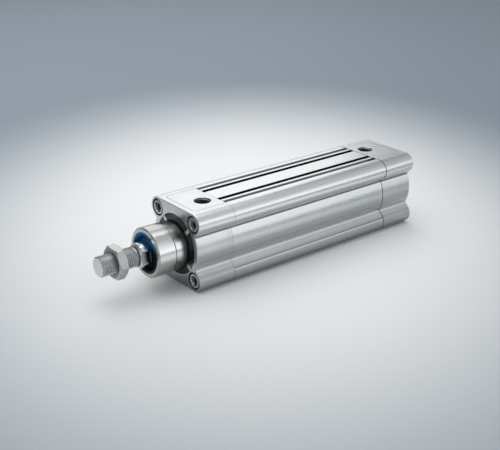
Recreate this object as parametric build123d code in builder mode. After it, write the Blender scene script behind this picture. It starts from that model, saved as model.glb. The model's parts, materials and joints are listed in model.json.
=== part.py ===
from build123d import *
import os

# Double-acting profile-barrel pneumatic cylinder, shown with its rod drawn in.
# Millimetres. The origin is the centre of the bearing cap's front mounting face,
# +X points out along the rod, and +Z points up, to the side with the ports.

# Main sizes
stroke = 125.0
bore_diameter = 50.0
rod_diameter = 20.0

# Barrel profile
barrel_wall = 4.2
flat_wall = 7.0
boss_radius = 8.75
slot_centre = 10.35
slot_mouth = 4.3
slot_lip = 1.5
slot_chamber = 6.2
slot_depth = 4.6
slot_edge = 0.3
groove_centre = 17.4
groove_width = 4.0
groove_depth = 2.4
line_angle = 28.0
line_width = 0.6
line_depth = 0.35

# Caps
cap_edge_radius = 0.8
joint_edge = 0.3
rear_rebate_width = 0.7
rear_rebate_depth = 1.0
spigot_length = 7.0
barrel_seal_depth = 2.1
barrel_seal_groove_width = 2.6
port_setback = 22.3
port_to_joint = 11.7
port_offset = 5.5
port_diameter = 13.16
port_depth = 12.0
port_edge = 0.3
passage_diameter = 7.0
pad_setback = 4.5
pad_inset = 12.2
pad_corner = 3.1
pad_line_width = 0.4
pad_line_depth = 0.2

# Bearing cap's collar and the recess around it
collar_wall = 4.9
collar_reach = 28.0
collar_edge = 1.0
collar_bore_edge = 0.4
neck_step = 0.4
neck_reach = 12.1
relief_width = 0.8
relief_depth = 0.7
recess_width = 4.9
recess_depth = 11.5
recess_edge = 0.35
rib_width = 3.0
rib_setback = 1.5
wiper_seat_depth = 8.0
bush_wall = 1.6
bush_length = 24.0
bush_start = 12.0

# End cap's rear face
centring_diameter = 40.0
centring_depth = 4.0
pocket_inset = 3.0
pocket_width = 7.0
pocket_depth = 4.0
pocket_rib_width = 5.0

# Corner screws
boss_wall = 1.65
head_gap = 1.4
head_length = 20.0
head_setback = 0.2
head_edge = 0.4
head_thread_diameter = 6.8
head_thread_depth = 17.0
shank_diameter = 6.0
shank_engagement = 18.0

# Piston and its seals
piston_length = 20.6
piston_gap = 0.3
piston_flange = 1.8
piston_edge = 0.6
lip_seal_width = 3.5
lip_seal_height = 4.8
lip_seal_notch = 1.0
guide_ring_width = 6.6
guide_ring_height = 2.0
magnet_cover = 1.5
magnet_height = 4.5
magnet_width = 4.0

# End cushions
front_sleeve_wall = 4.0
rear_boss_wall = 3.2
cushion_length = 20.0
cushion_taper = 1.2
cushion_chamber_gap = 2.0
front_chamber_end = 13.0
rear_chamber_end = 14.0
cushion_seal_width = 4.0
cushion_seal_depth = 2.0
cushion_seal_setback = 3.0
buffer_thickness = 1.5
buffer_inset = 2.5
buffer_width = 4.0
end_clearance = 0.2

# Rod, its threaded end and its joint with the piston
shoulder_reach = 37.0
shoulder_edge = 1.5
thread_diameter = 16.0
thread_length = 32.0
thread_edge = 0.8
flats_depth = 1.5
flats_length = 8.5
flats_angle = 5.0
rod_spigot_wall = 3.0
rod_spigot_length = 18.0
rod_ring_section = 1.8
rod_ring_setback = 4.0
piston_screw_diameter = 10.0
piston_screw_head_diameter = 16.0
piston_screw_head_length = 8.0
piston_screw_seat_depth = 12.0
piston_screw_engagement = 20.0
piston_screw_socket = 8.0
piston_screw_socket_depth = 4.0

# Lock nut on the rod's thread
nut_wall = 4.0
nut_thickness = 8.0
nut_setback = 11.5
nut_angle = -2.0
nut_face_inset = 0.6

# Wiper
wiper_section = 5.0
wiper_front_setback = 0.5
wiper_lip_thickness = 0.9
wiper_rim_width = 1.7
wiper_hollow_depth = 3.0

# Clearances
seat_clearance = 0.02
running_clearance = 0.05
rod_passage_gap = 0.3
cut_margin = 1.0

# Radii and places worked out from the sizes above
bore_radius = bore_diameter / 2
rod_radius = rod_diameter / 2
half_width = bore_radius + flat_wall
screw_pitch = 2 * (half_width - boss_radius)
pad_side = half_width - pad_inset
pocket_radius = centring_diameter / 2 - pocket_inset
bulge_radius = bore_radius + barrel_wall
channel_radius = shank_diameter / 2 + running_clearance
head_seat_radius = boss_radius - boss_wall
head_radius = head_seat_radius - head_gap
wiper_seat_radius = rod_radius + wiper_section
collar_radius = wiper_seat_radius + collar_wall
neck_radius = collar_radius - neck_step
recess_radius = neck_radius + recess_width
front_sleeve_radius = rod_radius + front_sleeve_wall
front_chamber_radius = front_sleeve_radius + cushion_chamber_gap
screw_head_bore = piston_screw_head_diameter / 2 + rod_passage_gap
rear_boss_radius = screw_head_bore + rear_boss_wall
rear_chamber_radius = rear_boss_radius + cushion_chamber_gap
rod_spigot_radius = piston_screw_diameter / 2 + rod_spigot_wall
cap_length = port_setback + port_to_joint
end_allowance = spigot_length + buffer_thickness + end_clearance
barrel_length = stroke + piston_length + 2 * end_allowance
body_length = barrel_length + 2 * cap_length
front_joint = -cap_length
rear_joint = front_joint - barrel_length
spigot_end = front_joint - spigot_length
piston_rear = rear_joint + end_allowance
piston_front = piston_rear + piston_length
piston_middle = piston_rear + piston_length / 2
rear_end = Location((-body_length, 0, 0), (0, 0, 180))
across = Plane.YZ
along = Plane.XZ

os.makedirs("parts", exist_ok=True)


# A ring or disc about the X axis, added to the part being made or cut from it
def turned(start, end, inner_radius, outer_radius, mode=Mode.ADD):
    with BuildSketch(along) as profile:
        with Locations(((start + end) / 2, (inner_radius + outer_radius) / 2)):
            Rectangle(abs(end - start), outer_radius - inner_radius)
    revolve(profile.sketch, Axis.X, mode=mode)


# Outline shared by the barrel and both caps: a round wall with four corner bosses
with BuildSketch() as housing_outline:
    Circle(bulge_radius)
    Rectangle(screw_pitch, 2 * half_width)
    with GridLocations(screw_pitch, screw_pitch, 2, 2):
        Circle(boss_radius)
    with PolarLocations(0, 4, start_angle=45):
        Rectangle(screw_pitch / 2 ** 0.5, 2 * boss_radius, align=(Align.MIN, Align.CENTER))

# Barrel: extruded profile with two sensor slots and two plain grooves on top
with BuildPart() as barrel:
    with BuildSketch(across.offset(front_joint)):
        add(housing_outline.sketch)
        Circle(bore_radius, mode=Mode.SUBTRACT)
        with GridLocations(screw_pitch, screw_pitch, 2, 2):
            Circle(channel_radius, mode=Mode.SUBTRACT)
        for side in (-1, 1):
            with Locations((side * slot_centre, half_width)):
                Rectangle(slot_mouth, 2 * slot_lip, mode=Mode.SUBTRACT)
            with Locations((side * slot_centre, half_width - slot_lip)):
                Rectangle(
                    slot_chamber,
                    slot_depth - slot_lip,
                    align=(Align.CENTER, Align.MAX),
                    mode=Mode.SUBTRACT,
                )
            with Locations((side * groove_centre, half_width)):
                Rectangle(groove_width, 2 * groove_depth, mode=Mode.SUBTRACT)
            for level in (-1, 1):
                outwards = 90 - side * 90 - side * level * line_angle
                with Locations((side * screw_pitch / 2, level * screw_pitch / 2)):
                    with PolarLocations(boss_radius, 1, start_angle=outwards):
                        Rectangle(2 * line_depth, line_width, mode=Mode.SUBTRACT)
    extrude(amount=-barrel_length)
    slot_edges = barrel.edges().filter_by(Axis.X).group_by(Axis.Z)[-1]
    fillet(slot_edges.filter_by(lambda e: abs(e.center().Y) < groove_centre + groove_width), slot_edge)
barrel.part.label = "barrel"
export_step(barrel.part, "parts/barrel.step")

# What both caps share, drawn at the front end
with BuildPart() as cap_core:
    with BuildSketch(across):
        add(housing_outline.sketch)
    extrude(amount=-cap_length)
    fillet(cap_core.faces().sort_by(Axis.X)[-1].edges(), cap_edge_radius)
    chamfer(cap_core.faces().sort_by(Axis.X)[0].edges(), joint_edge)
    turned(front_joint, spigot_end, 0, bore_radius - seat_clearance)
    groove_middle = (front_joint + spigot_end) / 2
    turned(
        groove_middle - barrel_seal_groove_width / 2,
        groove_middle + barrel_seal_groove_width / 2,
        bore_radius - barrel_seal_depth,
        bore_radius + cut_margin,
        Mode.SUBTRACT,
    )
    with BuildSketch(across):
        with GridLocations(screw_pitch, screw_pitch, 2, 2):
            Circle(head_seat_radius)
    extrude(amount=-head_setback - head_length, mode=Mode.SUBTRACT)
    with BuildSketch(across):
        with GridLocations(screw_pitch, screw_pitch, 2, 2):
            Circle(channel_radius)
    extrude(amount=-cap_length, mode=Mode.SUBTRACT)
    with BuildSketch(Plane.XY.offset(half_width)):
        with Locations((-port_setback, port_offset)):
            Circle(port_diameter / 2)
    extrude(amount=-port_depth, mode=Mode.SUBTRACT)
    with BuildSketch(Plane.XY.offset(half_width)):
        with Locations((-port_setback, port_offset)):
            Circle(passage_diameter / 2)
    extrude(amount=rear_chamber_radius - passage_diameter - half_width, mode=Mode.SUBTRACT)
    port_rim = cap_core.edges().filter_by(GeomType.CIRCLE).group_by(Axis.Z)[-1]
    chamfer(port_rim, port_edge)
    with BuildSketch(Plane.XY.offset(half_width)):
        with BuildLine():
            Polyline(
                (front_joint - cut_margin, pad_side),
                (-pad_setback - pad_corner, pad_side),
                (-pad_setback, pad_side - pad_corner),
                (-pad_setback, pad_corner - pad_side),
                (-pad_setback - pad_corner, -pad_side),
                (front_joint - cut_margin, -pad_side),
            )
        trace(line_width=pad_line_width)
    extrude(amount=-pad_line_depth, mode=Mode.SUBTRACT)

# Bearing cap: the shared cap with its collar, recess and rod guide
with BuildPart() as bearing_cap:
    add(cap_core.part)
    turned(-recess_depth, cut_margin, neck_radius - cut_margin, recess_radius, Mode.SUBTRACT)
    recess_rim = (
        bearing_cap.edges()
        .filter_by(GeomType.CIRCLE)
        .filter_by(lambda e: abs(e.radius - recess_radius) < seat_clearance)
        .sort_by(Axis.X)[-1]
    )
    chamfer(recess_rim, recess_edge)
    with BuildSketch(across.offset(-recess_depth)):
        with PolarLocations(0, 4, start_angle=45):
            Rectangle(recess_radius + recess_edge, rib_width, align=(Align.MIN, Align.CENTER))
    extrude(amount=recess_depth - rib_setback)
    turned(-recess_depth, neck_reach, 0, neck_radius)
    turned(neck_reach, neck_reach + relief_width, 0, collar_radius - relief_depth)
    turned(neck_reach + relief_width, collar_reach, 0, collar_radius)
    chamfer(bearing_cap.faces().sort_by(Axis.X)[-1].edges(), collar_edge)
    turned(collar_reach - wiper_seat_depth, collar_reach, 0, wiper_seat_radius, Mode.SUBTRACT)
    chamfer(bearing_cap.faces().sort_by(Axis.X)[-1].edges().sort_by(SortBy.RADIUS)[0], collar_bore_edge)
    turned(spigot_end, collar_reach, 0, rod_radius + rod_passage_gap, Mode.SUBTRACT)
    turned(-front_chamber_end, bush_start, 0, rod_radius + bush_wall + seat_clearance, Mode.SUBTRACT)
    turned(spigot_end, -front_chamber_end, 0, front_chamber_radius, Mode.SUBTRACT)
    turned(
        spigot_end + cushion_seal_setback,
        spigot_end + cushion_seal_setback + cushion_seal_width,
        0,
        front_chamber_radius + cushion_seal_depth,
        Mode.SUBTRACT,
    )
bearing_cap.part.label = "bearing_cap"
export_step(bearing_cap.part, "parts/bearing_cap.step")

# End cap: the shared cap turned end for end, closed at the back
with BuildPart() as end_cap:
    add(cap_core.part.moved(rear_end))
    with BuildSketch(across.offset(rear_joint)):
        add(housing_outline.sketch)
        offset(housing_outline.sketch, amount=-rear_rebate_depth, mode=Mode.SUBTRACT)
    extrude(amount=-rear_rebate_width, mode=Mode.SUBTRACT)
    turned(-body_length - cut_margin, -body_length + centring_depth, 0, centring_diameter / 2, Mode.SUBTRACT)
    with BuildSketch(across.offset(-body_length + centring_depth)):
        Circle(pocket_radius)
        Circle(pocket_radius - pocket_width, mode=Mode.SUBTRACT)
        with PolarLocations(0, 4, start_angle=45):
            Rectangle(
                centring_diameter,
                pocket_rib_width,
                align=(Align.MIN, Align.CENTER),
                mode=Mode.SUBTRACT,
            )
    extrude(amount=pocket_depth, mode=Mode.SUBTRACT)
    rear_spigot_end = rear_joint + spigot_length
    turned(rear_spigot_end, rear_chamber_end - body_length, 0, rear_chamber_radius, Mode.SUBTRACT)
    turned(
        rear_spigot_end - cushion_seal_setback,
        rear_spigot_end - cushion_seal_setback - cushion_seal_width,
        0,
        rear_chamber_radius + cushion_seal_depth,
        Mode.SUBTRACT,
    )
end_cap.part.label = "end_cap"
export_step(end_cap.part, "parts/end_cap.step")

# Corner screws, with a tapped head that also takes the mounting bolts
with BuildPart() as front_cap_screws:
    with BuildSketch(across.offset(-head_setback)):
        with GridLocations(screw_pitch, screw_pitch, 2, 2):
            Circle(head_radius)
    extrude(amount=-head_length)
    chamfer(front_cap_screws.faces().group_by(Axis.X)[-1].edges(), head_edge)
    with BuildSketch(across.offset(-head_setback - head_length)):
        with GridLocations(screw_pitch, screw_pitch, 2, 2):
            Circle(shank_diameter / 2)
    extrude(amount=head_setback + head_length - cap_length - shank_engagement)
    with BuildSketch(across):
        with GridLocations(screw_pitch, screw_pitch, 2, 2):
            Circle(head_thread_diameter / 2)
    extrude(amount=-head_setback - head_thread_depth, mode=Mode.SUBTRACT)
front_cap_screws.part.label = "front_cap_screws"
export_step(front_cap_screws.part, "parts/front_cap_screws.step")

with BuildPart() as rear_cap_screws:
    add(front_cap_screws.part.moved(rear_end))
rear_cap_screws.part.label = "rear_cap_screws"
export_step(rear_cap_screws.part, "parts/rear_cap_screws.step")

# Static seals between the caps and the barrel
barrel_seal_radius = barrel_seal_depth / 2 - running_clearance
with BuildPart() as front_barrel_seal:
    with BuildSketch(along):
        with Locations(((front_joint + spigot_end) / 2, bore_radius - barrel_seal_depth / 2)):
            Circle(barrel_seal_radius)
    revolve(axis=Axis.X)
front_barrel_seal.part.label = "front_barrel_seal"
export_step(front_barrel_seal.part, "parts/front_barrel_seal.step")

with BuildPart() as rear_barrel_seal:
    add(front_barrel_seal.part.moved(rear_end))
rear_barrel_seal.part.label = "rear_barrel_seal"
export_step(rear_barrel_seal.part, "parts/rear_barrel_seal.step")

# Elastic buffer rings that the piston stops against
buffer_outer = bore_radius - buffer_inset
with BuildPart() as front_buffer_ring:
    turned(spigot_end - buffer_thickness, spigot_end, buffer_outer - buffer_width, buffer_outer)
front_buffer_ring.part.label = "front_buffer_ring"
export_step(front_buffer_ring.part, "parts/front_buffer_ring.step")

with BuildPart() as rear_buffer_ring:
    add(front_buffer_ring.part.moved(rear_end))
rear_buffer_ring.part.label = "rear_buffer_ring"
export_step(rear_buffer_ring.part, "parts/rear_buffer_ring.step")

# Cushion seals in the caps
with BuildPart() as front_cushion_seal:
    turned(
        spigot_end + cushion_seal_setback + running_clearance,
        spigot_end + cushion_seal_setback + cushion_seal_width - running_clearance,
        front_sleeve_radius + running_clearance,
        front_chamber_radius + cushion_seal_depth - seat_clearance,
    )
front_cushion_seal.part.label = "front_cushion_seal"
export_step(front_cushion_seal.part, "parts/front_cushion_seal.step")

with BuildPart() as rear_cushion_seal:
    turned(
        rear_joint + spigot_length - cushion_seal_setback - running_clearance,
        rear_joint + spigot_length - cushion_seal_setback - cushion_seal_width + running_clearance,
        rear_boss_radius + running_clearance,
        rear_chamber_radius + cushion_seal_depth - seat_clearance,
    )
rear_cushion_seal.part.label = "rear_cushion_seal"
export_step(rear_cushion_seal.part, "parts/rear_cushion_seal.step")

# Rod guide bush
with BuildPart() as rod_bearing_bush:
    turned(bush_start - bush_length, bush_start, rod_radius + running_clearance, rod_radius + bush_wall)
rod_bearing_bush.part.label = "rod_bearing_bush"
export_step(rod_bearing_bush.part, "parts/rod_bearing_bush.step")

# Rod wiper: a rim in the collar, a hollow, and a lip on the rod
wiper_back = collar_reach - wiper_seat_depth
wiper_front = collar_reach - wiper_front_setback
wiper_outer = wiper_seat_radius - seat_clearance
wiper_inner = rod_radius + running_clearance
with BuildPart() as rod_wiper:
    with BuildSketch(along):
        with BuildLine():
            Polyline(
                (wiper_back, wiper_inner),
                (wiper_front, wiper_inner),
                (wiper_front, wiper_inner + wiper_lip_thickness / 2),
                (wiper_front - wiper_hollow_depth, wiper_inner + 2 * wiper_lip_thickness),
                (wiper_front, wiper_outer - wiper_rim_width),
                (wiper_front, wiper_outer),
                (wiper_back, wiper_outer),
                close=True,
            )
        make_face()
    revolve(axis=Axis.X)
rod_wiper.part.label = "rod_wiper"
export_step(rod_wiper.part, "parts/rod_wiper.step")

# Piston: two halves clamped together, with a magnet between them
piston_radius = bore_radius - piston_gap
seal_floor = bore_radius - lip_seal_height
guide_floor = bore_radius - guide_ring_height
magnet_outer = guide_floor - magnet_cover
with BuildPart() as piston_blank:
    turned(piston_middle, piston_front, 0, piston_radius)
    chamfer(piston_blank.faces().sort_by(Axis.X)[-1].edges(), piston_edge)
    turned(
        piston_front - piston_flange - lip_seal_width,
        piston_front - piston_flange,
        seal_floor,
        bore_radius,
        Mode.SUBTRACT,
    )
    turned(piston_middle, piston_middle + guide_ring_width / 2, guide_floor, bore_radius, Mode.SUBTRACT)
    turned(
        piston_middle,
        piston_middle + magnet_width / 2,
        magnet_outer - magnet_height,
        magnet_outer,
        Mode.SUBTRACT,
    )
    turned(piston_middle, piston_front, 0, rod_spigot_radius + seat_clearance, Mode.SUBTRACT)

with BuildPart() as piston_front_half:
    add(piston_blank.part)
    turned(
        piston_front - rod_ring_setback - rod_ring_section,
        piston_front - rod_ring_setback,
        0,
        rod_spigot_radius + rod_ring_section,
        Mode.SUBTRACT,
    )
piston_front_half.part.label = "piston_front_half"
export_step(piston_front_half.part, "parts/piston_front_half.step")

with BuildPart() as piston_rear_half:
    add(piston_blank.part.moved(Location((2 * piston_middle, 0, 0), (0, 0, 180))))
piston_rear_half.part.label = "piston_rear_half"
export_step(piston_rear_half.part, "parts/piston_rear_half.step")

with BuildPart() as piston_magnet:
    turned(
        piston_middle - magnet_width / 2,
        piston_middle + magnet_width / 2,
        magnet_outer - magnet_height + seat_clearance,
        magnet_outer - seat_clearance,
    )
piston_magnet.part.label = "piston_magnet"
export_step(piston_magnet.part, "parts/piston_magnet.step")

# Lip seals, with the pressure lip facing outwards at each end of the piston
lip_back = piston_front - piston_flange - lip_seal_width + running_clearance
lip_front = piston_front - piston_flange - running_clearance
lip_inner = seal_floor + running_clearance
lip_outer = bore_radius - running_clearance
with BuildPart() as piston_seal_front:
    with BuildSketch(along):
        with BuildLine():
            Polyline(
                (lip_back, lip_inner),
                (lip_front, lip_inner),
                (lip_front, (lip_inner + lip_outer) / 2 - lip_seal_notch),
                (lip_front - lip_seal_notch, (lip_inner + lip_outer) / 2),
                (lip_front, (lip_inner + lip_outer) / 2 + lip_seal_notch),
                (lip_front, lip_outer),
                (lip_back, lip_outer - piston_gap),
                close=True,
            )
        make_face()
    revolve(axis=Axis.X)
piston_seal_front.part.label = "piston_seal_front"
export_step(piston_seal_front.part, "parts/piston_seal_front.step")

with BuildPart() as piston_seal_rear:
    add(piston_seal_front.part.moved(Location((2 * piston_middle, 0, 0), (0, 0, 180))))
piston_seal_rear.part.label = "piston_seal_rear"
export_step(piston_seal_rear.part, "parts/piston_seal_rear.step")

with BuildPart() as piston_guide_ring:
    turned(
        piston_middle - guide_ring_width / 2 + running_clearance,
        piston_middle + guide_ring_width / 2 - running_clearance,
        guide_floor + running_clearance,
        bore_radius - running_clearance,
    )
piston_guide_ring.part.label = "piston_guide_ring"
export_step(piston_guide_ring.part, "parts/piston_guide_ring.step")

# Static seal between the piston and the rod's spigot
with BuildPart() as rod_o_ring:
    with BuildSketch(along):
        with Locations(
            (
                piston_front - rod_ring_setback - rod_ring_section / 2,
                rod_spigot_radius + rod_ring_section / 2,
            )
        ):
            Circle(rod_ring_section / 2 - seat_clearance)
    revolve(axis=Axis.X)
rod_o_ring.part.label = "rod_o_ring"
export_step(rod_o_ring.part, "parts/rod_o_ring.step")

# Cushion sleeve on the rod, and cushion boss behind the piston
with BuildPart() as front_cushion_sleeve:
    turned(piston_front, piston_front + cushion_length, 0, front_sleeve_radius)
    chamfer(front_cushion_sleeve.faces().sort_by(Axis.X)[-1].edges(), cushion_taper)
    turned(piston_front, piston_front + cushion_length, 0, rod_radius + seat_clearance, Mode.SUBTRACT)
front_cushion_sleeve.part.label = "front_cushion_sleeve"
export_step(front_cushion_sleeve.part, "parts/front_cushion_sleeve.step")

boss_end = piston_rear - cushion_length
screw_seat = boss_end + piston_screw_seat_depth
with BuildPart() as rear_cushion_boss:
    turned(boss_end, piston_rear, 0, rear_boss_radius)
    chamfer(rear_cushion_boss.faces().sort_by(Axis.X)[0].edges(), cushion_taper)
    turned(boss_end, piston_rear, 0, piston_screw_diameter / 2 + rod_passage_gap, Mode.SUBTRACT)
    turned(boss_end, screw_seat, 0, screw_head_bore, Mode.SUBTRACT)
rear_cushion_boss.part.label = "rear_cushion_boss"
export_step(rear_cushion_boss.part, "parts/rear_cushion_boss.step")

# Piston screw, from the boss through the piston into the rod
rod_back = piston_front - rod_spigot_length
with BuildPart() as piston_screw:
    turned(screw_seat - piston_screw_head_length, screw_seat, 0, piston_screw_head_diameter / 2)
    chamfer(piston_screw.faces().sort_by(Axis.X)[0].edges(), head_edge)
    turned(screw_seat, rod_back + piston_screw_engagement, 0, piston_screw_diameter / 2)
    with BuildSketch(across.offset(screw_seat - piston_screw_head_length)):
        RegularPolygon(piston_screw_socket / 2, 6, major_radius=False)
    extrude(amount=piston_screw_socket_depth, mode=Mode.SUBTRACT)
piston_screw.part.label = "piston_screw"
export_step(piston_screw.part, "parts/piston_screw.step")

# Piston rod: spigot, ground rod, wrench flats, shoulder and threaded end
rod_tip = shoulder_reach + thread_length
with BuildPart() as piston_rod:
    turned(piston_front, shoulder_reach, 0, rod_radius)
    chamfer(piston_rod.faces().sort_by(Axis.X)[-1].edges(), shoulder_edge)
    turned(rod_back, piston_front, 0, rod_spigot_radius)
    turned(shoulder_reach, rod_tip, 0, thread_diameter / 2)
    chamfer(piston_rod.faces().sort_by(Axis.X)[-1].edges(), thread_edge)
    turned(
        rod_back,
        rod_back + piston_screw_engagement + cut_margin,
        0,
        piston_screw_diameter / 2 + seat_clearance,
        Mode.SUBTRACT,
    )
    with BuildSketch(across.offset(shoulder_reach - flats_length)):
        with PolarLocations(rod_radius - flats_depth, 2, start_angle=flats_angle):
            Rectangle(rod_diameter, 2 * rod_diameter, align=(Align.MIN, Align.CENTER))
    extrude(amount=flats_length, mode=Mode.SUBTRACT)
piston_rod.part.label = "piston_rod"
export_step(piston_rod.part, "parts/piston_rod.step")

# Lock nut, chamfered on both faces
nut_start = rod_tip - nut_setback - nut_thickness
nut_flat_radius = thread_diameter / 2 + nut_wall
nut_corner_radius = nut_flat_radius * 2 / 3 ** 0.5
nut_face_radius = nut_flat_radius - nut_face_inset
nut_chamfer_length = (nut_corner_radius - nut_face_radius) / 3 ** 0.5
with BuildPart() as rod_nut:
    with BuildSketch(across.offset(nut_start)):
        RegularPolygon(nut_flat_radius, 6, major_radius=False, rotation=nut_angle)
    extrude(amount=nut_thickness)
    with BuildSketch(along):
        with BuildLine():
            Polyline(
                (nut_start, 0),
                (nut_start, nut_face_radius),
                (nut_start + nut_chamfer_length, nut_corner_radius),
                (nut_start + nut_thickness - nut_chamfer_length, nut_corner_radius),
                (nut_start + nut_thickness, nut_face_radius),
                (nut_start + nut_thickness, 0),
                close=True,
            )
        make_face()
    revolve(axis=Axis.X, mode=Mode.INTERSECT)
    turned(nut_start, nut_start + nut_thickness, 0, thread_diameter / 2 + running_clearance, Mode.SUBTRACT)
rod_nut.part.label = "rod_nut"
export_step(rod_nut.part, "parts/rod_nut.step")
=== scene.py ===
import json
import math
import bmesh
import bpy
from mathutils import Matrix, Vector


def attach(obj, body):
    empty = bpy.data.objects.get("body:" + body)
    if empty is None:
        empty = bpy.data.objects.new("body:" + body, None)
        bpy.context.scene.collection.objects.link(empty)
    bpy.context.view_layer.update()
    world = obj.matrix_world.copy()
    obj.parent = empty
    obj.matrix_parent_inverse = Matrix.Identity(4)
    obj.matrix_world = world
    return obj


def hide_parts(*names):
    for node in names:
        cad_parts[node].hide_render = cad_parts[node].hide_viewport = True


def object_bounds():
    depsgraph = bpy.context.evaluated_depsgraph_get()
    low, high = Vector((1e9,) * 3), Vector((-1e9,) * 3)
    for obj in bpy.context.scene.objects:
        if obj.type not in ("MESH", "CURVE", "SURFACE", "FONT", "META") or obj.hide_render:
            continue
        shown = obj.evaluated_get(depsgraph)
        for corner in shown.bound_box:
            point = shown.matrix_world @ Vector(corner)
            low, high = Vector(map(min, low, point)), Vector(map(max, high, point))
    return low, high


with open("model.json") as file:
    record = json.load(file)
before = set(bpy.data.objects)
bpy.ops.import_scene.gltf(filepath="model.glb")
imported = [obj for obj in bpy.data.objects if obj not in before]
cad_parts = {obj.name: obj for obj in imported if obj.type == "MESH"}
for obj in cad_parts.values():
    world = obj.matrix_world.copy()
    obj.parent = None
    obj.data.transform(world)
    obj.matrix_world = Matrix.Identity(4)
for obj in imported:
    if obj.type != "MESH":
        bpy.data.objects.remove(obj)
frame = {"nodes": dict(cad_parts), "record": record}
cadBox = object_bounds()
nodes = frame["nodes"]
print("frame loaded")

# Pieces are sized in millimetres and degrees, and zones of the materials are placed in metres
perMetre = 1000


def newMaterial(name):
    material = bpy.data.materials.new(name)
    material.use_nodes = True
    tree = material.node_tree
    return material, tree, tree.nodes["Principled BSDF"]


def addNode(tree, kind, **values):
    node = tree.nodes.new(kind)
    for key, value in values.items():
        setattr(node, key, value)
    return node


def wire(tree, source, target):
    tree.links.new(source, target)


def calc(tree, operation, first, second=None, clamp=False):
    node = addNode(tree, "ShaderNodeMath", operation=operation, use_clamp=clamp)
    for slot, value in zip(node.inputs, (first, second)):
        if isinstance(value, (int, float)):
            slot.default_value = value
        elif value is not None:
            wire(tree, value, slot)
    return node.outputs[0]


def times(tree, first, *others):
    for other in others:
        first = calc(tree, "MULTIPLY", first, other)
    return first


def largest(tree, first, *others):
    for other in others:
        first = calc(tree, "MAXIMUM", first, other)
    return first


def sizeOf(tree, value):
    return calc(tree, "ABSOLUTE", value)


def diagonal(tree, first, second):
    return calc(tree, "SQRT", calc(tree, "ADD", times(tree, first, first), times(tree, second, second)))


# The default range is the one that most of a noise texture's values lie in
def spread(tree, value, low, high, fromLow=0.3, fromHigh=0.7, course="LINEAR"):
    node = addNode(tree, "ShaderNodeMapRange", interpolation_type=course)
    for key, number in (("From Min", fromLow), ("From Max", fromHigh), ("To Min", low), ("To Max", high)):
        node.inputs[key].default_value = number
    wire(tree, value, node.inputs["Value"])
    return node.outputs["Result"]


def rising(tree, value, start, end):
    return spread(tree, value, 0, 1, start, end, "SMOOTHSTEP")


def falling(tree, value, start, end):
    return spread(tree, value, 1, 0, start, end, "SMOOTHSTEP")


def within(tree, value, low, high):
    return times(tree, calc(tree, "GREATER_THAN", value, low), calc(tree, "LESS_THAN", value, high))


def blendColours(tree, factor, first, second):
    node = addNode(tree, "ShaderNodeMix", data_type="RGBA")
    for socket, colour in ((node.inputs[6], first), (node.inputs[7], second)):
        if isinstance(colour, tuple):
            socket.default_value = (*colour, 1)
        else:
            wire(tree, colour, socket)
    wire(tree, factor, node.inputs[0])
    return node.outputs[2]


def objectPoint(tree):
    return addNode(tree, "ShaderNodeTexCoord").outputs["Object"]


def splitAxes(tree, vector):
    parts = addNode(tree, "ShaderNodeSeparateXYZ")
    wire(tree, vector, parts.inputs[0])
    return parts.outputs["X"], parts.outputs["Y"], parts.outputs["Z"]


def facingAxes(tree):
    return splitAxes(tree, addNode(tree, "ShaderNodeTexCoord").outputs["Normal"])


def noise(tree, point, size, detail=3.0, roughness=0.55, stretch=(1.0, 1.0, 1.0)):
    mapping = addNode(tree, "ShaderNodeMapping")
    mapping.inputs["Scale"].default_value = stretch
    wire(tree, point, mapping.inputs["Vector"])
    texture = addNode(tree, "ShaderNodeTexNoise")
    for key, number in (("Scale", size), ("Detail", detail), ("Roughness", roughness)):
        texture.inputs[key].default_value = number
    wire(tree, mapping.outputs["Vector"], texture.inputs["Vector"])
    return texture.outputs["Fac"]


# Noise on this point gives turning marks about X, because the angle counts for little in it
def turnedPoint(tree, point, angleShare=0.0006):
    along, across, upward = splitAxes(tree, point)
    radius = diagonal(tree, across, upward)
    angle = calc(tree, "ARCTAN2", upward, across)
    joined = addNode(tree, "ShaderNodeCombineXYZ")
    for axis, value in (("X", along), ("Y", radius), ("Z", times(tree, angle, angleShare))):
        wire(tree, value, joined.inputs[axis])
    return joined.outputs[0], radius


def raiseSurface(tree, height, distance, strength, under=None):
    node = addNode(tree, "ShaderNodeBump")
    node.inputs["Strength"].default_value = strength
    node.inputs["Distance"].default_value = distance
    wire(tree, height, node.inputs["Height"])
    if under is not None:
        wire(tree, under, node.inputs["Normal"])
    return node.outputs["Normal"]


# Painted shade: faces that look down, the lower half of the sides and the foot of the ends are painted darker than
# the rest
paintedUndershade = {"down": (-0.35, 0.1), "sideways": (0.62, 0.86), "sideHeight": (-0.003, 0.0035),
             "endHeight": (-0.030, -0.006), "sideShare": 0.78, "upperShare": 0.4, "amount": 0.9,
             "colour": (0.26, 0.27, 0.275)}


def paintUndershade(tree, skin, height, u):
    facingX, facingY, facingZ = facingAxes(tree)
    down = times(tree, falling(tree, facingZ, *u["down"]),
                 spread(tree, height, 1, u["upperShare"], *u["sideHeight"]))
    lowSide = times(tree, rising(tree, sizeOf(tree, facingY), *u["sideways"]), u["sideShare"],
                    falling(tree, height, *u["sideHeight"]))
    lowEnd = times(tree, rising(tree, sizeOf(tree, facingX), *u["sideways"]),
                   falling(tree, height, *u["endHeight"]))
    amount = largest(tree, down, lowSide, lowEnd)
    return blendColours(tree, times(tree, amount, u["amount"]), skin, u["colour"])


# Painted highlights in pale bands and painted shade in dark creases run along the sides, and the end faces stay free
# of them
# A band is its lowest and highest height, soft edge and amount, and a crease its two places, reach and amount
paintedSideLight = {"bands": ((0.0115, 0.0133, 0.0012, 0.3), (0.0222, 0.0268, 0.0012, 0.85),
                       (-0.0130, -0.0085, 0.001, 0.25), (-0.0145, -0.0136, 0.0004, 0.7)),
             "crease": (0.02589, 0.01351, 0.0011, 0.85), "creaseCore": 0.3, "endFacing": 0.7,
             "pale": (0.94, 0.945, 0.95), "dark": (0.08, 0.083, 0.086)}


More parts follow.
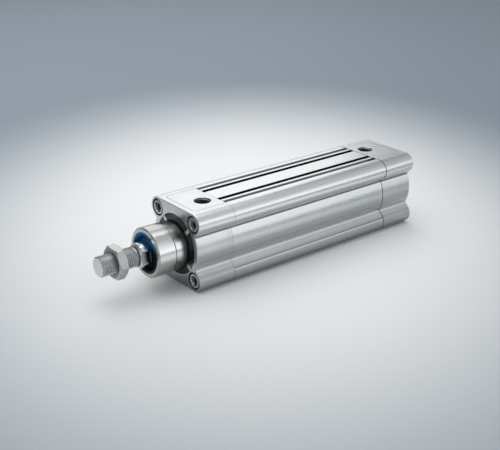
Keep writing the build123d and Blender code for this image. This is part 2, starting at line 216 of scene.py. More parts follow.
def paintSideLight(tree, skin, across, height, bands, creases):
    facingX = facingAxes(tree)[0]
    onSide = calc(tree, "LESS_THAN", sizeOf(tree, facingX), paintedSideLight["endFacing"])
    for low, high, soft, amount in bands:
        band = times(tree, rising(tree, height, low - soft, low), amount,
                     falling(tree, height, high, high + soft), onSide)
        skin = blendColours(tree, band, skin, paintedSideLight["pale"])
    for out, up, reach, amount in creases:
        away = diagonal(tree, calc(tree, "SUBTRACT", sizeOf(tree, across), out), calc(tree, "SUBTRACT", height, up))
        crease = times(tree, falling(tree, away, reach * paintedSideLight["creaseCore"], reach), amount, onSide)
        skin = blendColours(tree, crease, skin, paintedSideLight["dark"])
    return skin


# Drawn and clear anodised barrel, with its slots and grooves in shade
barrelLook = {
    "streaks": 1400.0, "streakDetail": 4.0, "streakRoughness": 0.6, "streakStretch": (0.02, 1.0, 1.0),
    "broad": 160.0, "broadDetail": 2.0, "broadStretch": (0.05, 1.0, 1.0), "grain": 5200.0, "grainDetail": 2.0,
    "streakShare": 0.6, "broadShare": 0.4, "dark": (0.70, 0.715, 0.725), "light": (0.79, 0.80, 0.805),
    "rough": (0.23, 0.32), "streakBump": (0.00002, 0.07), "grainBump": (0.000008, 0.22),
    "slotSide": (0.0072, 0.0135), "grooveSide": (0.0135, 0.0195), "sunkHeight": (0.0235, 0.03185),
    "slotShade": 0.96, "grooveShade": 0.34, "shadow": (0.05, 0.053, 0.056),
    # Painted light on the barrel: the shared bands and creases, plus a thin painted highlight under the lower lobe's
    # groove and painted shade in that groove
    "bands": (*paintedSideLight["bands"], (-0.0206, -0.0199, 0.0003, 0.16)),
    "creases": (paintedSideLight["crease"], (0.03098, -0.01914, 0.0007, 0.7))}


def anodisedBarrel(b):
    material, tree, shader = newMaterial("barrelClearAnodised")
    point = objectPoint(tree)
    across, height = splitAxes(tree, point)[1:]
    streaks = noise(tree, point, b["streaks"], b["streakDetail"], b["streakRoughness"], b["streakStretch"])
    broad = noise(tree, point, b["broad"], b["broadDetail"], stretch=b["broadStretch"])
    grain = noise(tree, point, b["grain"], b["grainDetail"])
    tone = calc(tree, "ADD", times(tree, streaks, b["streakShare"]), times(tree, broad, b["broadShare"]))
    skin = blendColours(tree, spread(tree, tone, 0, 1), b["dark"], b["light"])
    skin = paintUndershade(tree, skin, height, paintedUndershade)
    skin = paintSideLight(tree, skin, across, height, b["bands"], b["creases"])
    aside = sizeOf(tree, across)
    shade = calc(tree, "ADD", times(tree, within(tree, aside, *b["slotSide"]), b["slotShade"]),
                 times(tree, within(tree, aside, *b["grooveSide"]), b["grooveShade"]))
    shade = times(tree, shade, within(tree, height, *b["sunkHeight"]))
    wire(tree, blendColours(tree, shade, skin, b["shadow"]), shader.inputs["Base Color"])
    shader.inputs["Metallic"].default_value = 1.0
    wire(tree, spread(tree, tone, *b["rough"]), shader.inputs["Roughness"])
    lines = raiseSurface(tree, streaks, *b["streakBump"])
    wire(tree, raiseSurface(tree, grain, *b["grainBump"], lines), shader.inputs["Normal"])
    return material


# Satin caps with a turned collar: a painted highlight band round its middle, and painted shade at its foot and
# towards the recess
capLook = {
    "grain": 3200.0, "clouds": 90.0, "cloudDetail": 2.0, "turning": 9000.0,
    "dark": (0.68, 0.695, 0.71), "light": (0.75, 0.76, 0.765), "rough": (0.26, 0.36),
    "turnedDark": (0.52, 0.52, 0.52), "turnedLight": (0.61, 0.61, 0.605), "turnedRough": (0.19, 0.27),
    "bump": (0.00002, 0.4), "turnedBump": 0.35, "collarRadius": 0.0203, "collarStart": 0.0002,
    "crown": (0.0105, 0.0158), "foot": (-0.0035, 0.001), "beltEnd": 0.0269, "zoneAmount": 0.85,
    "belt": (0.87, 0.87, 0.865), "footColour": (0.34, 0.342, 0.34),
    "shadeStart": 0.005, "shadeEnd": (0.009, 0.019), "recessShade": (0.11, 0.114, 0.112),
    "grooveLength": (0.0120, 0.01295), "lineHeight": (0.0317, 0.0319), "lineLength": (-0.05, -0.0043),
    "lineSide": 0.0201, "jointLength": (-0.19775, -0.1969), "rimLength": (-0.0309, -0.0304),
    "rimHeight": 0.0134, "rimShare": 0.3, "lineAmount": 0.88, "line": (0.08, 0.084, 0.088)}


# Painted light on the collar: a painted highlight belt below the crown, painted shade at its foot, painted shade
# rising towards the recess, and painted shade in the groove behind the collar
def paintCollarLight(tree, skin, along, height, c):
    crown = rising(tree, height, *c["crown"])
    belowCrown = calc(tree, "SUBTRACT", 1, crown)
    belt = times(tree, belowCrown, calc(tree, "LESS_THAN", along, c["beltEnd"]), c["zoneAmount"])
    skin = blendColours(tree, belt, skin, c["belt"])
    foot = times(tree, falling(tree, height, *c["foot"]), c["zoneAmount"])
    skin = blendColours(tree, foot, skin, c["footColour"])
    reach = calc(tree, "SUBTRACT", spread(tree, crown, *c["shadeEnd"], 0, 1), c["shadeStart"])
    lit = calc(tree, "DIVIDE", calc(tree, "SUBTRACT", along, c["shadeStart"]), reach, clamp=True)
    skin = blendColours(tree, rising(tree, lit, 0, 1), c["recessShade"], skin)
    groove = times(tree, within(tree, along, *c["grooveLength"]), belowCrown, c["lineAmount"])
    return blendColours(tree, groove, skin, c["line"])


def satinCap(c):
    material, tree, shader = newMaterial("capSatinCast")
    point = objectPoint(tree)
    along, across, height = splitAxes(tree, point)
    rings, radius = turnedPoint(tree, point)
    grain = noise(tree, point, c["grain"])
    clouds = noise(tree, point, c["clouds"], c["cloudDetail"])
    turning = noise(tree, rings, c["turning"])
    collar = times(tree, calc(tree, "LESS_THAN", radius, c["collarRadius"]),
                   calc(tree, "GREATER_THAN", along, c["collarStart"]))
    base = blendColours(tree, spread(tree, clouds, 0, 1), c["dark"], c["light"])
    base = paintUndershade(tree, base, height, paintedUndershade)
    base = paintSideLight(tree, base, across, height, paintedSideLight["bands"], (paintedSideLight["crease"],))
    bright = blendColours(tree, spread(tree, turning, 0, 1), c["turnedDark"], c["turnedLight"])
    skin = blendColours(tree, collar, base, paintCollarLight(tree, bright, along, height, c))
    # Painted shade: the pad line, the rear joint and the rim line are painted dark
    padLine = times(tree, within(tree, height, *c["lineHeight"]), within(tree, along, *c["lineLength"]),
                    calc(tree, "LESS_THAN", sizeOf(tree, across), c["lineSide"]))
    rimLine = times(tree, within(tree, along, *c["rimLength"]),
                    calc(tree, "LESS_THAN", sizeOf(tree, height), c["rimHeight"]), c["rimShare"])
    lines = largest(tree, padLine, within(tree, along, *c["jointLength"]), rimLine)
    wire(tree, blendColours(tree, times(tree, lines, c["lineAmount"]), skin, c["line"]), shader.inputs["Base Color"])
    shader.inputs["Metallic"].default_value = 1.0
    wire(tree, blendColours(tree, collar, spread(tree, grain, *c["rough"]), spread(tree, turning, *c["turnedRough"])),
         shader.inputs["Roughness"])
    marks = calc(tree, "ADD", times(tree, grain, calc(tree, "SUBTRACT", 1.0, collar)),
                 times(tree, turning, collar, c["turnedBump"]))
    wire(tree, raiseSurface(tree, marks, *c["bump"]), shader.inputs["Normal"])
    return material


def turnedMetal(name, dark, light, rough, depth, size=3200.0, clouds=140.0, strength=0.35):
    material, tree, shader = newMaterial(name)
    point = objectPoint(tree)
    turning = noise(tree, turnedPoint(tree, point)[0], size)
    tone = spread(tree, noise(tree, point, clouds), 0, 1)
    wire(tree, blendColours(tree, tone, dark, light), shader.inputs["Base Color"])
    shader.inputs["Metallic"].default_value = 1.0
    wire(tree, spread(tree, turning, *rough), shader.inputs["Roughness"])
    wire(tree, raiseSurface(tree, turning, depth, strength), shader.inputs["Normal"])
    return material


# Zinc plating: crystals and clouds share the tone, over a fine grain
platedLook = {"crystals": 900.0, "clouds": 260.0, "cloudDetail": 4.0, "grain": 4200.0, "cloudShare": 0.8,
              "crystalShare": 0.25, "tone": (0.3, 0.75), "bump": (0.00002, 0.4)}


def platedSteel(name, dark, light, rough):
    p = platedLook
    material, tree, shader = newMaterial(name)
    point = objectPoint(tree)
    crystals = addNode(tree, "ShaderNodeTexVoronoi")
    crystals.inputs["Scale"].default_value = p["crystals"]
    wire(tree, point, crystals.inputs["Vector"])
    clouds = noise(tree, point, p["clouds"], p["cloudDetail"])
    tone = calc(tree, "ADD", times(tree, clouds, p["cloudShare"]),
                times(tree, crystals.outputs["Distance"], p["crystalShare"]))
    wire(tree, blendColours(tree, spread(tree, tone, 0, 1, *p["tone"]), dark, light), shader.inputs["Base Color"])
    shader.inputs["Metallic"].default_value = 1.0
    wire(tree, spread(tree, clouds, *rough), shader.inputs["Roughness"])
    wire(tree, raiseSurface(tree, noise(tree, point, p["grain"]), *p["bump"]), shader.inputs["Normal"])
    return material


# Painted shade: the lower part of the wiper is painted near-black where shadow falls, and this fades out upwards
wiperLowerShade = {"colour": (0.004, 0.009, 0.010), "height": (0.0025, 0.0105), "gloss": 0.14}


def softPlastic(name, dark, light, rough, grain, lowerShade=None, clouds=180.0, bump=(0.00002, 0.5)):
    material, tree, shader = newMaterial(name)
    point = objectPoint(tree)
    speckle = noise(tree, point, grain)
    skin = blendColours(tree, spread(tree, noise(tree, point, clouds), 0, 1), dark, light)
    if lowerShade:
        unshaded = rising(tree, splitAxes(tree, point)[2], *lowerShade["height"])
        skin = blendColours(tree, unshaded, lowerShade["colour"], skin)
        shader.inputs["Specular IOR Level"].default_value = lowerShade["gloss"]
    wire(tree, skin, shader.inputs["Base Color"])
    wire(tree, spread(tree, speckle, *rough), shader.inputs["Roughness"])
    wire(tree, raiseSurface(tree, speckle, *bump), shader.inputs["Normal"])
    return material


finishes = {
    "barrel_aluminium": anodisedBarrel(barrelLook),
    "cap_aluminium": satinCap(capLook),
    "screw_steel": platedSteel("screwZincPlated", dark=(0.50, 0.51, 0.52), light=(0.66, 0.67, 0.68),
                               rough=(0.24, 0.4)),
    "wiper_polyurethane": softPlastic("wiperBlue", dark=(0.008, 0.12, 0.34), light=(0.012, 0.155, 0.44),
                                      rough=(0.42, 0.56), grain=2600.0, lowerShade=wiperLowerShade),
    "bush_bronze": turnedMetal("bushBronze", dark=(0.45, 0.30, 0.16), light=(0.58, 0.40, 0.22),
                               rough=(0.28, 0.42), depth=0.00002),
    "seal_rubber": softPlastic("sealBlack", dark=(0.012, 0.012, 0.013), light=(0.03, 0.03, 0.032),
                               rough=(0.45, 0.65), grain=2200.0),
    "buffer_polyurethane": softPlastic("bufferGrey", dark=(0.16, 0.17, 0.15), light=(0.24, 0.25, 0.22),
                                       rough=(0.45, 0.6), grain=2200.0),
    "guide_plastic": softPlastic("guideRingBrown", dark=(0.10, 0.07, 0.05), light=(0.16, 0.12, 0.08),
                                 rough=(0.4, 0.55), grain=2600.0),
    "rod_steel": turnedMetal("rodHardChrome", dark=(0.72, 0.725, 0.73), light=(0.82, 0.825, 0.83),
                             rough=(0.06, 0.12), depth=0.000005, size=7200.0),
    "piston_aluminium": turnedMetal("pistonTurned", dark=(0.62, 0.63, 0.64), light=(0.76, 0.77, 0.78),
                                    rough=(0.22, 0.38), depth=0.00002),
    "magnet_ferrite": softPlastic("magnetFerrite", dark=(0.03, 0.03, 0.034), light=(0.06, 0.06, 0.066),
                                  rough=(0.5, 0.7), grain=3600.0),
    "cushion_plastic": softPlastic("cushionBlack", dark=(0.02, 0.02, 0.022), light=(0.045, 0.045, 0.05),
                                   rough=(0.35, 0.5), grain=2600.0),
    "nut_steel": platedSteel("nutZincPlated", dark=(0.44, 0.448, 0.445), light=(0.58, 0.588, 0.58),
                             rough=(0.3, 0.45)),
}
# Painted shade: the nut's end faces and the rod's relief are painted darker than the plated steel
nutFaceShadeFinish = platedSteel("nutFacePaintedShade", dark=(0.20, 0.205, 0.205), light=(0.32, 0.325, 0.32), rough=(0.3, 0.45))
print("finishes made")

for row in frame["record"]["subparts"]:
    node = nodes[row["node"]]
    node.data.materials.clear()
    node.data.materials.append(finishes[row["material_slot"]])


def outline(shape, points):
    row = [shape.verts.new((x / perMetre, 0, radius / perMetre)) for x, radius in points]
    return row, [shape.edges.new(pair) for pair in zip(row, row[1:])]


def latheAboutX(points, columns, closed=False, merge=1e-7):
    shape = bmesh.new()
    row, lines = outline(shape, points)
    if closed:
        lines.append(shape.edges.new((row[-1], row[0])))
    bmesh.ops.spin(shape, geom=row + lines, cent=(0, 0, 0), axis=(1, 0, 0), angle=math.tau,
                   steps=columns, use_merge=True)
    bmesh.ops.remove_doubles(shape, verts=shape.verts, dist=merge)
    return shape


# Parts of the pitch where the root and the crest start and end, and whole turns added before and after
threadForm = {"root": (0.0, 0.25), "crest": (0.5625, 0.6875), "before": 2, "after": 1}


def helixAboutX(start, end, pitch, crest, root, columns, merge=2e-6):
    shape = bmesh.new()
    form = [(part, root) for part in threadForm["root"]] + [(part, crest) for part in threadForm["crest"]]
    teeth = math.ceil((end - start) / pitch) + threadForm["before"] + threadForm["after"]
    row, lines = outline(shape, [(start + (tooth + part - threadForm["before"]) * pitch, radius)
                                 for tooth in range(teeth) for part, radius in form])
    bmesh.ops.spin(shape, geom=row + lines, cent=(0, 0, 0), axis=(1, 0, 0), angle=math.tau,
                   dvec=(pitch / columns / perMetre, 0, 0), steps=columns, use_merge=False)
    bmesh.ops.remove_doubles(shape, verts=shape.verts, dist=merge)
    return shape


# With keep at 1 only what lies beyond the cut stays, and with -1 only what lies before it
def cutAcross(shape, x, keep=0, near=1e-8):
    bmesh.ops.bisect_plane(shape, geom=shape.verts[:] + shape.edges[:] + shape.faces[:], dist=near,
                           plane_co=(x / perMetre, 0, 0), plane_no=(1, 0, 0),
                           clear_outer=keep < 0, clear_inner=keep > 0)


def limitRadius(shape, bound, outside=True, axisMargin=1e-6):
    for vert in shape.verts:
        radius = math.hypot(vert.co.y, vert.co.z)
        wanted = bound(vert.co.x * perMetre) / perMetre
        if radius > axisMargin and (radius > wanted if outside else radius < wanted):
            vert.co.y *= wanted / radius
            vert.co.z *= wanted / radius


def openEdges(shape, x, margin=0.02):
    return [e for e in shape.edges
            if e.is_boundary and all(abs(v.co.x * perMetre - x) < margin for v in e.verts)]


def closeRing(shape, x):
    bmesh.ops.triangle_fill(shape, edges=openEdges(shape, x), use_beauty=True, normal=(1, 0, 0))


def faceCentres(shape):
    return [(face, face.calc_center_median() * perMetre) for face in shape.faces]


def fromAxis(centre):
    return math.hypot(centre.y, centre.z)


def joinShape(target, other):
    mesh = bpy.data.meshes.new("joining")
    other.to_mesh(mesh)
    other.free()
    target.from_mesh(mesh)
    bpy.data.meshes.remove(mesh)


def addPiece(name, shape, body, materials, replaced=(), smoothAngle=35.0):
    bmesh.ops.recalc_face_normals(shape, faces=shape.faces)
    mesh = bpy.data.meshes.new(name)
    shape.to_mesh(mesh)
    shape.free()
    piece = bpy.data.objects.new(name, mesh)
    bpy.context.scene.collection.objects.link(piece)
    for material in materials:
        mesh.materials.append(material)
    mesh.shade_smooth()
    mesh.set_sharp_from_angle(angle=math.radians(smoothAngle))
    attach(piece, body)
    if replaced:
        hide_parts(*replaced)
    print("made", name, len(mesh.polygons), "faces")


# Piston rod: turned body, two milled flats, a relief behind the thread and the thread itself
rodSizes = {
    "radius": 10.0, "spigotRadius": 8.0, "spigotEnd": -185.7, "spigotChamfer": 0.6, "shoulderBack": -167.7,
    "bodyChamfer": 0.5, "holeRadius": 5.02, "holeEnd": -164.7, "holeChamfer": 1.2, "flatsStart": 28.5,
    "flatsHalf": 8.5, "flatsAngle": 5.0, "flatsStep": 0.02, "chamferStart": 35.5, "chamferRows": 5,
    "chamferRow": 0.25, "shoulder": 37.0, "reliefRadius": 6.95, "reliefEnd": 38.6, "reliefRise": 0.9,
    "tip": 69.0, "tipChamfer": 0.8, "pitch": 1.5, "crest": 7.98, "root": 7.08, "columns": 96, "threadColumns": 48}
# Distances that tell which finish a face of the rod gets
rodZones = {"edge": 0.01, "beforeShoulder": 0.3, "flatsDepth": 0.05, "stepLength": 0.05, "reliefFaces": 0.7}
rodFinishes = {
    "thread": turnedMetal("rodThreadZinc", dark=(0.44, 0.445, 0.445), light=(0.58, 0.585, 0.58),
                          rough=(0.32, 0.5), depth=0.00002, size=1800.0),
    # Painted shade: the flats and the step at their start are painted darker than the chrome
    "flats": platedSteel("rodFlatsPaintedShade", dark=(0.26, 0.265, 0.27), light=(0.34, 0.345, 0.35), rough=(0.14, 0.2)),
    "step": platedSteel("rodFlatsStepShade", dark=(0.08, 0.082, 0.084), light=(0.14, 0.142, 0.145), rough=(0.25, 0.35)),
    "tip": platedSteel("rodTipFaced", dark=(0.72, 0.73, 0.735), light=(0.84, 0.845, 0.85), rough=(0.2, 0.35)),
    "relief": nutFaceShadeFinish,
}


def makeRod(s, z):
    chamfer = [(s["chamferStart"] + part * s["chamferRow"], s["radius"] - part * s["chamferRow"])
               for part in range(1, s["chamferRows"] + 1)]
    points = [(s["holeEnd"], 0), (s["holeEnd"], s["holeRadius"]),
              (s["spigotEnd"] + s["holeChamfer"], s["holeRadius"]),
              (s["spigotEnd"], s["holeRadius"] + s["holeChamfer"]),
              (s["spigotEnd"], s["spigotRadius"] - s["spigotChamfer"]),
              (s["spigotEnd"] + s["spigotChamfer"], s["spigotRadius"]), (s["shoulderBack"], s["spigotRadius"]),
              (s["shoulderBack"], s["radius"] - s["bodyChamfer"]),
              (s["shoulderBack"] + s["bodyChamfer"], s["radius"]), (s["flatsStart"], s["radius"]),
              (s["flatsStart"] + s["flatsStep"], s["radius"]), (s["chamferStart"], s["radius"]), *chamfer,
              (s["shoulder"], s["flatsHalf"]), (s["shoulder"], s["reliefRadius"])]
    shape = latheAboutX(points, s["columns"])
    across = Matrix.Rotation(math.radians(s["flatsAngle"]), 3, "X") @ Vector((0, 1, 0))
    for vert in shape.verts:
        if vert.co.x * perMetre > s["flatsStart"] + s["flatsStep"] / 2:
            aside = vert.co.dot(across)
            limit = s["flatsHalf"] / perMetre
            if abs(aside) > limit:
                vert.co -= across * (aside - math.copysign(limit, aside))

    def threadBound(x):
        if x < s["reliefEnd"]:
            return s["reliefRadius"] + max(0.0, x - s["reliefEnd"] + s["reliefRise"])
        return min(s["crest"], s["crest"] - s["tipChamfer"] + s["tip"] - x)
    thread = helixAboutX(s["shoulder"], s["tip"], s["pitch"], s["crest"], s["root"], s["threadColumns"])
    cutAcross(thread, s["shoulder"], 1)
    cutAcross(thread, s["tip"], -1)
    for place in (s["tip"] - s["tipChamfer"], s["reliefEnd"] - s["reliefRise"], s["reliefEnd"]):
        cutAcross(thread, place)
    limitRadius(thread, threadBound)
    bmesh.ops.holes_fill(thread, edges=openEdges(thread, s["tip"]), sides=0)
    joinShape(shape, thread)
    bmesh.ops.bridge_loops(shape, edges=openEdges(shape, s["shoulder"]))
    places = {name: index + 1 for index, name in enumerate(rodFinishes)}
    for face, centre in faceCentres(shape):
        onFlats = (s["flatsStart"] < centre.x < s["shoulder"] - z["beforeShoulder"]
                   and abs(centre.dot(across)) > s["flatsHalf"] - z["flatsDepth"])
        if onFlats:
            face.material_index = places["step" if centre.x < s["flatsStart"] + z["stepLength"] else "flats"]
        elif centre.x > s["tip"] - z["edge"]:
            face.material_index = places["tip"]
        elif centre.x > s["shoulder"] - z["edge"]:
            face.material_index = places["relief" if centre.x < s["reliefEnd"] - z["reliefFaces"] else "thread"]
    addPiece("turnedRod", shape, "rod_set", [finishes["rod_steel"], *rodFinishes.values()],
             ["piston_rod"])


makeRod(rodSizes, rodZones)


# Lock nut: a hexagon cut down to a cone at both faces
nutSizes = {"start": 49.5, "end": 57.5, "acrossFlats": 24.0, "turn": -2.0, "faceRadius": 11.4, "slope": 30.0,
            "coneRows": 8, "bore": 8.02, "sink": 8.7, "sinkDepth": 0.7, "flatsWall": 2.0, "faceDepth": 1.0,
            "sector": 60.0, "columns": 96, "smoothAngle": 22}


def makeNut(s):
    apothem = s["acrossFlats"] / 2
    slope = math.tan(math.radians(s["slope"]))
    chamferLength = (apothem / math.cos(math.radians(s["sector"] / 2)) - s["faceRadius"]) * slope
    stations = [chamferLength * part / s["coneRows"] for part in range(s["coneRows"] + 1)]
    xs = [s["start"] + x for x in stations] + [s["end"] - x for x in reversed(stations)]
    points = [(s["start"] + s["sinkDepth"], s["bore"]), (s["start"], s["sink"]),
              *[(x, 2 * apothem) for x in xs],
              (s["end"], s["sink"]), (s["end"] - s["sinkDepth"], s["bore"])]
    shape = latheAboutX(points, s["columns"], True)
    for vert in shape.verts:
        radius = fromAxis(vert.co) * perMetre
        if radius < apothem - s["flatsWall"]:
            continue
        angle = math.degrees(math.atan2(vert.co.z, vert.co.y)) - s["turn"]
        flat = apothem / math.cos(math.radians(angle % s["sector"] - s["sector"] / 2))
        x = vert.co.x * perMetre
        cone = s["faceRadius"] + min(x - s["start"], s["end"] - x) / slope
        vert.co.y *= min(flat, cone) / radius
        vert.co.z *= min(flat, cone) / radius
    for face, centre in faceCentres(shape):
        onFace = min(abs(centre.x - s["start"]), abs(centre.x - s["end"])) < s["faceDepth"]
        face.material_index = 1 if onFace and fromAxis(centre) < s["faceRadius"] else 0
    addPiece("hexLockNut", shape, "lock_nut", [finishes["nut_steel"], nutFaceShadeFinish],
             ["rod_nut"], s["smoothAngle"])


makeNut(nutSizes)


# Corner screws: countersunk, tapped heads on plain shanks
screwSizes = {
    "pitch": 46.5, "bodyLength": 231.0, "headRadius": 5.7, "front": -0.2, "headBack": -20.2, "shankRadius": 3.0,
    "tip": -52.0, "tipChamfer": 0.8, "rim": 0.4, "rimMiddle": 0.3, "sinkRadius": 4.3, "sinkDepth": 1.0,
    "holeBottom": -17.2, "holeMargin": 0.1, "leadIn": 0.7, "threadPitch": 1.25, "threadCrest": 3.32,
    "threadRoot": 4.0, "columns": 40}
# Painted shade: the tapped holes in the screw heads are painted dark
screwThreadFinish = platedSteel("screwThreadShade", dark=(0.12, 0.12, 0.122), light=(0.30, 0.30, 0.305),
                                rough=(0.25, 0.4))


def makeScrew(s):
    mouth = s["front"] - s["sinkDepth"]
    middle = s["rim"] * s["rimMiddle"]
    points = [(mouth, s["threadRoot"]), (s["front"], s["sinkRadius"]), (s["front"], s["headRadius"] - s["rim"]),
              (s["front"] - middle, s["headRadius"] - middle), (s["front"] - s["rim"], s["headRadius"]),
              (s["headBack"], s["headRadius"]), (s["headBack"], s["shankRadius"]),
              (s["tip"] + s["tipChamfer"], s["shankRadius"]), (s["tip"], s["shankRadius"] - s["tipChamfer"]),
              (s["tip"], 0)]
    shape = latheAboutX(points, s["columns"])
    thread = helixAboutX(s["holeBottom"], mouth, s["threadPitch"], s["threadCrest"], s["threadRoot"], s["columns"])
    cutAcross(thread, s["holeBottom"], 1)
    cutAcross(thread, mouth, -1)
    cutAcross(thread, mouth - s["leadIn"])
    limitRadius(thread, lambda x: max(s["threadCrest"], s["threadRoot"] - mouth + x), False)
    closeRing(thread, s["holeBottom"])
    joinShape(shape, thread)
    bmesh.ops.bridge_loops(shape, edges=openEdges(shape, mouth))
    for face, centre in faceCentres(shape):
        inHole = centre.x > s["holeBottom"] - s["holeMargin"] and fromAxis(centre) < s["threadRoot"]
        face.material_index = 1 if inHole else 0
    return shape


def makeScrewSet(name, replaced, s, rear=False):
    shape = bmesh.new()
    half = s["pitch"] / 2
    for y, z in ((half, half), (-half, half), (-half, -half), (half, -half)):
        single = makeScrew(s)
        if rear:
            bmesh.ops.rotate(single, verts=single.verts, cent=(0, 0, 0), matrix=Matrix.Rotation(math.pi, 3, "Z"))
            bmesh.ops.translate(single, verts=single.verts, vec=(-s["bodyLength"] / perMetre, 0, 0))
        bmesh.ops.translate(single, verts=single.verts, vec=(0, y / perMetre, z / perMetre))
        joinShape(shape, single)
    addPiece(name, shape, "housing", [finishes["screw_steel"], screwThreadFinish], [replaced])


makeScrewSet("frontScrews", "front_cap_screws", screwSizes)
makeScrewSet("rearScrews", "rear_cap_screws", screwSizes, rear=True)


# Rod wiper: a thin brim over the collar's bore edge, then a hollow and the lip on the rod
# Rim and lip are measured from the front, and hollowCurve and lipRoot from the hollow's floor
wiperSizes = {
    "back": 20.0, "front": 27.5, "outer": 14.98, "inner": 10.05, "hollow": 5.5, "rimWidth": 2.6,
    "brim": 16.4, "brimBack": 27.96, "brimFront": 28.2, "brimEdge": (0.08, 0.2), "brimInside": 0.3,
    "rimCurve": ((-0.1, -0.85), (-0.6, -1.05)), "hollowCurve": ((0.6, -1.45), (0.0, -2.0), (0.0, -2.6)),
    "lipRoot": (0.6, 1.7), "lipCurve": ((-1.3, 0.8), (-0.6, 0.5), (-0.45, 0.25), (-0.6, 0.05), (-1.0, 0.0)),
    "columns": 96, "smoothAngle": 50}
wiperLipFinish = softPlastic("wiperLip", dark=(0.055, 0.105, 0.15), light=(0.08, 0.14, 0.19), rough=(0.45, 0.6),
                             grain=2600.0, lowerShade=wiperLowerShade)


def makeWiper(s):
    front, outer, inner = s["front"], s["outer"], s["inner"]
    hollow = front - s["hollow"]
    edgeLength, edgeWidth = s["brimEdge"]
    points = [(s["back"], outer), (s["brimBack"], outer), (s["brimBack"], s["brim"]),
              (s["brimFront"] - edgeLength, s["brim"]), (s["brimFront"], s["brim"] - edgeWidth),
              (s["brimFront"], outer - s["brimInside"]),
              *[(front + x, outer + out) for x, out in s["rimCurve"]],
              *[(hollow + x, outer + out) for x, out in s["hollowCurve"]],
              (hollow + s["lipRoot"][0], inner + s["lipRoot"][1]),
              *[(front + x, inner + out) for x, out in s["lipCurve"]], (s["back"], inner)]
    shape = latheAboutX(points, s["columns"], True)
    for face, centre in faceCentres(shape):
        face.material_index = 1 if fromAxis(centre) < outer - s["rimWidth"] else 0
    addPiece("blueWiper", shape, "housing", [finishes["wiper_polyurethane"], wiperLipFinish],
             ["rod_wiper"], s["smoothAngle"])


makeWiper(wiperSizes)


# Port threads: thin tapped sleeves inside the plain port holes
portSizes = {"top": 31.1, "bottom": 20.2, "outer": 6.56, "root": 6.45, "crest": 5.75, "pitch": 1.337, "leadIn": 0.7,
             "columns": 48, "places": {"frontPortThread": (-22.3, 5.5), "rearPortThread": (-208.7, -5.5)}}
# Painted shade: the port threads are painted dark
portThreadFinish = turnedMetal("portThreadShade", dark=(0.13, 0.133, 0.136), light=(0.2, 0.204, 0.208),
                               rough=(0.3, 0.4), depth=0.00001)


def makePortThread(name, place, s):
    depth = s["top"] - s["bottom"]
    shape = helixAboutX(0, depth, s["pitch"], s["crest"], s["root"], s["columns"])
    cutAcross(shape, 0, 1)
    cutAcross(shape, depth, -1)
    cutAcross(shape, depth - s["leadIn"])
    limitRadius(shape, lambda x: max(s["crest"], s["root"] - depth + x), False)
    joinShape(shape, latheAboutX([(0, s["outer"]), (depth, s["outer"])], s["columns"]))
    closeRing(shape, 0)
    closeRing(shape, depth)
    stand = Matrix.Translation((place[0] / perMetre, place[1] / perMetre, s["bottom"] / perMetre))
    bmesh.ops.transform(shape, matrix=stand @ Matrix.Rotation(-math.pi / 2, 4, "Y"), verts=shape.verts)
    addPiece(name, shape, "housing", [portThreadFinish])


for portName, portPlace in portSizes["places"].items():
    makePortThread(portName, portPlace, portSizes)
print("pieces made")


# Painted pool of light: the floor is palest in an oval around the part and is painted darker and blue-grey further
# out
floorLightPool = {"half": 6.0, "centre": (-0.13, -0.055), "turn": 141.334, "reach": (0.296, 0.40), "fall": (0.32, 1.31),
              "pale": (0.89, 0.90, 0.90), "deep": (0.22, 0.27, 0.32), "roughness": 0.6}


def makeFloor(z):
    level = cadBox[0][2]
    shape = bmesh.new()
    bmesh.ops.create_grid(shape, x_segments=1, y_segments=1, size=z["half"])
    bmesh.ops.translate(shape, verts=shape.verts, vec=(0, 0, level))
    mesh = bpy.data.meshes.new("paleFloor")
    shape.to_mesh(mesh)
    shape.free()
    floor = bpy.data.objects.new("paleFloor", mesh)
    bpy.context.scene.collection.objects.link(floor)
    material, tree, shader = newMaterial("paleFloor")
    mapping = addNode(tree, "ShaderNodeMapping", vector_type="TEXTURE")
    mapping.inputs["Location"].default_value = (*z["centre"], level)
    mapping.inputs["Rotation"].default_value = (0, 0, math.radians(z["turn"]))
    mapping.inputs["Scale"].default_value = (*z["reach"], 1)
    wire(tree, objectPoint(tree), mapping.inputs["Vector"])
    away = addNode(tree, "ShaderNodeVectorMath", operation="LENGTH")
    wire(tree, mapping.outputs["Vector"], away.inputs[0])
    wire(tree, blendColours(tree, rising(tree, away.outputs["Value"], *z["fall"]), z["pale"], z["deep"]),
         shader.inputs["Base Color"])
    shader.inputs["Roughness"].default_value = z["roughness"]
    mesh.materials.append(material)


# Each of the sky's four rows is two strengths and then the two directions that have them
softboxes = {
    "overhead": {"place": (0.06, -0.3, 1.3), "size": (1.5, 1.5), "power": 11.6},
    "backPanel": {"place": (-0.52, -1.12, 0.8), "size": (1.4, 1.0), "power": 3.6},
}
studio = {"target": (-0.08, 0, 0), "upward": (1.3, 0.68, 0.1, 0.62), "front": (1.0, 0.55, -0.2, 0.6),
          "rear": (0.55, 1.0, -0.78, -0.6), "left": (0.5, 1.0, -0.5, 0.2), "tint": (0.95, 0.98, 1.0)}


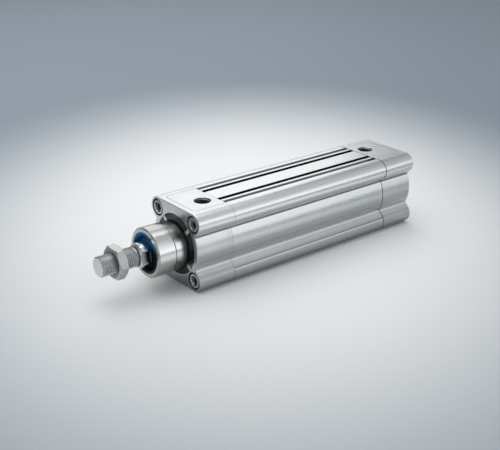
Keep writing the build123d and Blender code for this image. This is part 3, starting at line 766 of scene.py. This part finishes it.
def addSoftbox(name, box, target):
    light = bpy.data.lights.new(name, "AREA")
    light.shape = "RECTANGLE"
    light.size, light.size_y = box["size"]
    light.energy = box["power"]
    panel = bpy.data.objects.new(name, light)
    bpy.context.scene.collection.objects.link(panel)
    panel.location = box["place"]
    panel.rotation_euler = (Vector(target) - Vector(box["place"])).to_track_quat("-Z", "Y").to_euler()


def makeLight(s):
    for name, box in softboxes.items():
        addSoftbox(name, box, s["target"])
    world = bpy.data.worlds.new("studio")
    bpy.context.scene.world = world
    world.use_nodes = True
    tree = world.node_tree
    background = tree.nodes["Background"]
    along, across, upward = splitAxes(tree, addNode(tree, "ShaderNodeTexCoord").outputs["Generated"])
    strength = times(tree, spread(tree, upward, *s["upward"]), spread(tree, along, *s["front"]),
                     spread(tree, along, *s["rear"]), spread(tree, across, *s["left"]))
    wire(tree, strength, background.inputs["Strength"])
    background.inputs["Color"].default_value = (*s["tint"], 1)
    bpy.context.scene.view_settings.view_transform = "Standard"


# The photograph's viewing angle and framing, with distances in millimetres
cameraSetup = {"azimuth": 141.334, "elevation": 22.786, "distance": 752.8, "right": 57.4, "up": 14.5,
               "focalPixels": 975.6, "imageWidth": 500, "sensorWidth": 36.0, "clip": (0.01, 50)}


def makeCamera(s):
    azimuth, elevation = math.radians(s["azimuth"]), math.radians(s["elevation"])
    right = Vector((math.cos(azimuth), math.sin(azimuth), 0))
    back = Vector((math.sin(azimuth) * math.cos(elevation), -math.cos(azimuth) * math.cos(elevation),
                   math.sin(elevation)))
    up = back.cross(right)
    camera = bpy.data.objects.new("photoCamera", bpy.data.cameras.new("photoCamera"))
    bpy.context.scene.collection.objects.link(camera)
    camera.data.sensor_width = s["sensorWidth"]
    camera.data.lens = s["focalPixels"] / s["imageWidth"] * s["sensorWidth"]
    camera.data.clip_start, camera.data.clip_end = s["clip"]
    place = right * s["right"] + up * s["up"] + back * s["distance"]
    turned = Matrix((right, up, back)).transposed().to_4x4()
    camera.matrix_world = Matrix.Translation(place / perMetre) @ turned
    bpy.context.scene.camera = camera


makeFloor(floorLightPool)
makeLight(studio)
makeCamera(cameraSetup)
print("stage, light and camera set")
